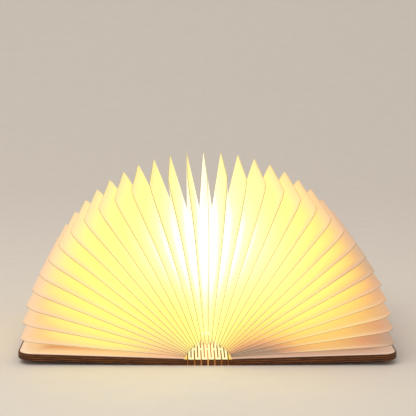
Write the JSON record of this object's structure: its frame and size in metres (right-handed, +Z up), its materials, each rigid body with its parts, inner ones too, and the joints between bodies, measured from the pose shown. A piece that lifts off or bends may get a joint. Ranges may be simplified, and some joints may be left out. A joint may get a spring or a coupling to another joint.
{
  "type": "folding book lamp",
  "caption": "Folding lamp shaped like a book: wooden covers on a slotted bending spine open to spread a glowing fan of paper pages over a hidden battery light unit.",
  "frame": {"origin": "on the table under the middle of the spine, with the book standing open as in the picture", "axes": "+X across the two covers to the right, +Y along the spine to the far end with the charging port, +Z up"},
  "size_m": [0.3454, 0.215, 0.1718],
  "materials": {
    "walnut": "satin",
    "page_paper": "matte",
    "lining_paper": "matte",
    "housing_plastic": "matte",
    "diffuser_plastic": "matte",
    "circuit_board": "satin",
    "led_phosphor": "satin",
    "battery_wrap": "gloss",
    "port_steel": "satin",
    "screw_steel": "satin",
    "magnet_nickel": "polished",
    "sensor_plastic": "matte"
  },
  "bodies": {
    "spine": {"spine_core": "walnut", "housing_base": "housing_plastic", "diffuser": "diffuser_plastic", "led_board": "circuit_board", "leds": "led_phosphor", "battery": "battery_wrap", "control_board": "circuit_board", "usb_port": "port_steel", "hall_sensor": "sensor_plastic", "housing_screws": "screw_steel", "left_folds": "page_paper", "right_folds": "page_paper"},
    "right_bend": {"right_strip_1": "walnut", "right_strip_2": "walnut", "right_strip_3": "walnut", "right_strip_4": "walnut", "right_strip_5": "walnut"},
    "right_cover": {"right_cover": "walnut", "right_lining": "lining_paper", "right_magnets": "magnet_nickel"},
    "left_bend": {"left_strip_1": "walnut", "left_strip_2": "walnut", "left_strip_3": "walnut", "left_strip_4": "walnut", "left_strip_5": "walnut"},
    "left_cover": {"left_cover": "walnut", "left_lining": "lining_paper", "left_magnets": "magnet_nickel"},
    "page_16": {"page_16": "page_paper"},
    "page_15": {"page_15": "page_paper"},
    "page_14": {"page_14": "page_paper"},
    "page_13": {"page_13": "page_paper"},
    "page_12": {"page_12": "page_paper"},
    "page_11": {"page_11": "page_paper"},
    "page_10": {"page_10": "page_paper"},
    "page_09": {"page_09": "page_paper"},
    "page_08": {"page_08": "page_paper"},
    "page_07": {"page_07": "page_paper"},
    "page_06": {"page_06": "page_paper"},
    "page_05": {"page_05": "page_paper"},
    "page_04": {"page_04": "page_paper"},
    "page_03": {"page_03": "page_paper"},
    "page_02": {"page_02": "page_paper"},
    "page_01": {"page_01": "page_paper"},
    "page_17": {"page_17": "page_paper"},
    "page_18": {"page_18": "page_paper"},
    "page_19": {"page_19": "page_paper"},
    "page_20": {"page_20": "page_paper"},
    "page_21": {"page_21": "page_paper"},
    "page_22": {"page_22": "page_paper"},
    "page_23": {"page_23": "page_paper"},
    "page_24": {"page_24": "page_paper"},
    "page_25": {"page_25": "page_paper"},
    "page_26": {"page_26": "page_paper"},
    "page_27": {"page_27": "page_paper"},
    "page_28": {"page_28": "page_paper"},
    "page_29": {"page_29": "page_paper"},
    "page_30": {"page_30": "page_paper"},
    "page_31": {"page_31": "page_paper"},
    "page_32": {"page_32": "page_paper"}
  },
  "joints": [
    {"name": "right_cover_fold", "type": "hinge", "parent": "right_bend", "child": "right_cover", "pos_m": [0.01638, 0, 0.0029], "axis": [0, -1, 0], "range_deg": [-47.65, 44.15]},
    {"name": "right_spine_fold", "type": "hinge", "parent": "spine", "child": "right_bend", "pos_m": [0.00472, 0, 0.0029], "axis": [0, -1, 0], "range_deg": [-47.65, 44.15]},
    {"name": "left_cover_fold", "type": "hinge", "parent": "left_bend", "child": "left_cover", "pos_m": [-0.01638, 0, 0.0029], "axis": [0, 1, 0], "range_deg": [-47.65, 44.15]},
    {"name": "left_spine_fold", "type": "hinge", "parent": "spine", "child": "left_bend", "pos_m": [-0.00472, 0, 0.0029], "axis": [0, 1, 0], "range_deg": [-47.65, 44.15]},
    {"name": "page_fan_rise", "type": "slide", "parent": "spine", "child": "page_16", "axis": [0, 0, 1], "range_m": [-0.0061, 0.00658]},
    {"name": "page_15_turn", "type": "hinge", "parent": "page_16", "child": "page_15", "pos_m": [-0.00027, 0, -0.0024], "axis": [0, 1, 0], "range_deg": [-6.13, 5.68]},
    {"name": "page_14_turn", "type": "hinge", "parent": "page_15", "child": "page_14", "pos_m": [-0.00096, 0, -0.00086], "axis": [0, 1, 0], "range_deg": [-6.13, 5.68]},
    {"name": "page_13_turn", "type": "hinge", "parent": "page_14", "child": "page_13", "pos_m": [-0.00181, 0, 0.0006], "axis": [0, 1, 0], "range_deg": [-6.13, 5.68]},
    {"name": "page_12_turn", "type": "hinge", "parent": "page_13", "child": "page_12", "pos_m": [-0.00279, 0, 0.00198], "axis": [0, 1, 0], "range_deg": [-6.13, 5.68]},
    {"name": "page_11_turn", "type": "hinge", "parent": "page_12", "child": "page_11", "pos_m": [-0.0039, 0, 0.00324], "axis": [0, 1, 0], "range_deg": [-6.13, 5.68]},
    {"name": "page_10_turn", "type": "hinge", "parent": "page_11", "child": "page_10", "pos_m": [-0.00514, 0, 0.0044], "axis": [0, 1, 0], "range_deg": [-6.13, 5.68]},
    {"name": "page_09_turn", "type": "hinge", "parent": "page_10", "child": "page_09", "pos_m": [-0.00648, 0, 0.00543], "axis": [0, 1, 0], "range_deg": [-6.13, 5.68]},
    {"name": "page_08_turn", "type": "hinge", "parent": "page_09", "child": "page_08", "pos_m": [-0.00791, 0, 0.00632], "axis": [0, 1, 0], "range_deg": [-6.13, 5.68]},
    {"name": "page_07_turn", "type": "hinge", "parent": "page_08", "child": "page_07", "pos_m": [-0.00943, 0, 0.00706], "axis": [0, 1, 0], "range_deg": [-6.13, 5.68]},
    {"name": "page_06_turn", "type": "hinge", "parent": "page_07", "child": "page_06", "pos_m": [-0.01101, 0, 0.00765], "axis": [0, 1, 0], "range_deg": [-6.13, 5.68]},
    {"name": "page_05_turn", "type": "hinge", "parent": "page_06", "child": "page_05", "pos_m": [-0.01264, 0, 0.00808], "axis": [0, 1, 0], "range_deg": [-6.13, 5.68]},
    {"name": "page_04_turn", "type": "hinge", "parent": "page_05", "child": "page_04", "pos_m": [-0.01431, 0, 0.00835], "axis": [0, 1, 0], "range_deg": [-6.13, 5.68]},
    {"name": "page_03_turn", "type": "hinge", "parent": "page_04", "child": "page_03", "pos_m": [-0.016, 0, 0.00846], "axis": [0, 1, 0], "range_deg": [-6.13, 5.68]},
    {"name": "page_02_turn", "type": "hinge", "parent": "page_03", "child": "page_02", "pos_m": [-0.01768, 0, 0.0084], "axis": [0, 1, 0], "range_deg": [-6.13, 5.68]},
    {"name": "page_01_turn", "type": "hinge", "parent": "page_02", "child": "page_01", "pos_m": [-0.01936, 0, 0.00817], "axis": [0, 1, 0], "range_deg": [-6.13, 5.68]},
    {"name": "page_17_turn", "type": "hinge", "parent": "page_16", "child": "page_17", "pos_m": [0.00027, 0, -0.0024], "axis": [0, -1, 0], "range_deg": [-6.19, 5.74], "deforming": ["left_folds", "right_folds", "left_strip_1", "left_strip_2", "left_strip_3", "left_strip_4", "left_strip_5", "right_strip_1", "right_strip_2", "right_strip_3", "right_strip_4", "right_strip_5"]},
    {"name": "page_18_turn", "type": "hinge", "parent": "page_17", "child": "page_18", "pos_m": [0.00097, 0, -0.00086], "axis": [0, -1, 0], "range_deg": [-6.21, 5.75]},
    {"name": "page_19_turn", "type": "hinge", "parent": "page_18", "child": "page_19", "pos_m": [0.00181, 0, 0.0006], "axis": [0, -1, 0], "range_deg": [-6.18, 5.73]},
    {"name": "page_20_turn", "type": "hinge", "parent": "page_19", "child": "page_20", "pos_m": [0.0028, 0, 0.00197], "axis": [0, -1, 0], "range_deg": [-6.14, 5.69]},
    {"name": "page_21_turn", "type": "hinge", "parent": "page_20", "child": "page_21", "pos_m": [0.00392, 0, 0.00323], "axis": [0, -1, 0], "range_deg": [-6.08, 5.64]},
    {"name": "page_22_turn", "type": "hinge", "parent": "page_21", "child": "page_22", "pos_m": [0.00516, 0, 0.00438], "axis": [0, -1, 0], "range_deg": [-6.02, 5.58]},
    {"name": "page_23_turn", "type": "hinge", "parent": "page_22", "child": "page_23", "pos_m": [0.0065, 0, 0.00541], "axis": [0, -1, 0], "range_deg": [-5.95, 5.51]},
    {"name": "page_24_turn", "type": "hinge", "parent": "page_23", "child": "page_24", "pos_m": [0.00793, 0, 0.0063], "axis": [0, -1, 0], "range_deg": [-5.88, 5.45]},
    {"name": "page_25_turn", "type": "hinge", "parent": "page_24", "child": "page_25", "pos_m": [0.00944, 0, 0.00705], "axis": [0, -1, 0], "range_deg": [-5.8, 5.38]},
    {"name": "page_26_turn", "type": "hinge", "parent": "page_25", "child": "page_26", "pos_m": [0.01102, 0, 0.00766], "axis": [0, -1, 0], "range_deg": [-5.72, 5.3]},
    {"name": "page_27_turn", "type": "hinge", "parent": "page_26", "child": "page_27", "pos_m": [0.01264, 0, 0.00812], "axis": [0, -1, 0], "range_deg": [-5.65, 5.24]},
    {"name": "page_28_turn", "type": "hinge", "parent": "page_27", "child": "page_28", "pos_m": [0.0143, 0, 0.00844], "axis": [0, -1, 0], "range_deg": [-5.59, 5.18]},
    {"name": "page_29_turn", "type": "hinge", "parent": "page_28", "child": "page_29", "pos_m": [0.01598, 0, 0.0086], "axis": [0, -1, 0], "range_deg": [-5.54, 5.13]},
    {"name": "page_30_turn", "type": "hinge", "parent": "page_29", "child": "page_30", "pos_m": [0.01767, 0, 0.00861], "axis": [0, -1, 0], "range_deg": [-5.49, 5.09]},
    {"name": "page_31_turn", "type": "hinge", "parent": "page_30", "child": "page_31", "pos_m": [0.01936, 0, 0.00847], "axis": [0, -1, 0], "range_deg": [-5.46, 5.07]},
    {"name": "page_32_turn", "type": "hinge", "parent": "page_31", "child": "page_32", "pos_m": [0.02102, 0, 0.00819], "axis": [0, -1, 0], "range_deg": [-5.45, 5.05]}
  ],
  "couplings": [
    {"joint": "right_cover_fold", "follows": "page_17_turn", "ratio": 7.6852},
    {"joint": "right_spine_fold", "follows": "page_17_turn", "ratio": 7.6852},
    {"joint": "left_cover_fold", "follows": "page_17_turn", "ratio": 7.6852},
    {"joint": "left_spine_fold", "follows": "page_17_turn", "ratio": 7.6852},
    {"joint": "page_fan_rise", "follows": "page_17_turn", "m_per_rad": -0.059909},
    {"joint": "page_15_turn", "follows": "page_17_turn", "ratio": 0.98462},
    {"joint": "page_14_turn", "follows": "page_17_turn", "ratio": 0.98462},
    {"joint": "page_13_turn", "follows": "page_17_turn", "ratio": 0.98462},
    {"joint": "page_12_turn", "follows": "page_17_turn", "ratio": 0.98462},
    {"joint": "page_11_turn", "follows": "page_17_turn", "ratio": 0.98462},
    {"joint": "page_10_turn", "follows": "page_17_turn", "ratio": 0.98462},
    {"joint": "page_09_turn", "follows": "page_17_turn", "ratio": 0.98462},
    {"joint": "page_08_turn", "follows": "page_17_turn", "ratio": 0.98462},
    {"joint": "page_07_turn", "follows": "page_17_turn", "ratio": 0.98462},
    {"joint": "page_06_turn", "follows": "page_17_turn", "ratio": 0.98462},
    {"joint": "page_05_turn", "follows": "page_17_turn", "ratio": 0.98462},
    {"joint": "page_04_turn", "follows": "page_17_turn", "ratio": 0.98462},
    {"joint": "page_03_turn", "follows": "page_17_turn", "ratio": 0.98462},
    {"joint": "page_02_turn", "follows": "page_17_turn", "ratio": 0.98462},
    {"joint": "page_01_turn", "follows": "page_17_turn", "ratio": 0.98462},
    {"joint": "page_18_turn", "follows": "page_17_turn", "ratio": 0.9976},
    {"joint": "page_19_turn", "follows": "page_17_turn", "ratio": 0.99289},
    {"joint": "page_20_turn", "follows": "page_17_turn", "ratio": 0.98606},
    {"joint": "page_21_turn", "follows": "page_17_turn", "ratio": 0.97737},
    {"joint": "page_22_turn", "follows": "page_17_turn", "ratio": 0.96714},
    {"joint": "page_23_turn", "follows": "page_17_turn", "ratio": 0.95578},
    {"joint": "page_24_turn", "follows": "page_17_turn", "ratio": 0.94371},
    {"joint": "page_25_turn", "follows": "page_17_turn", "ratio": 0.93142},
    {"joint": "page_26_turn", "follows": "page_17_turn", "ratio": 0.91935},
    {"joint": "page_27_turn", "follows": "page_17_turn", "ratio": 0.90799},
    {"joint": "page_28_turn", "follows": "page_17_turn", "ratio": 0.89777},
    {"joint": "page_29_turn", "follows": "page_17_turn", "ratio": 0.88907},
    {"joint": "page_30_turn", "follows": "page_17_turn", "ratio": 0.88224},
    {"joint": "page_31_turn", "follows": "page_17_turn", "ratio": 0.87753},
    {"joint": "page_32_turn", "follows": "page_17_turn", "ratio": 0.87513}
  ]
}
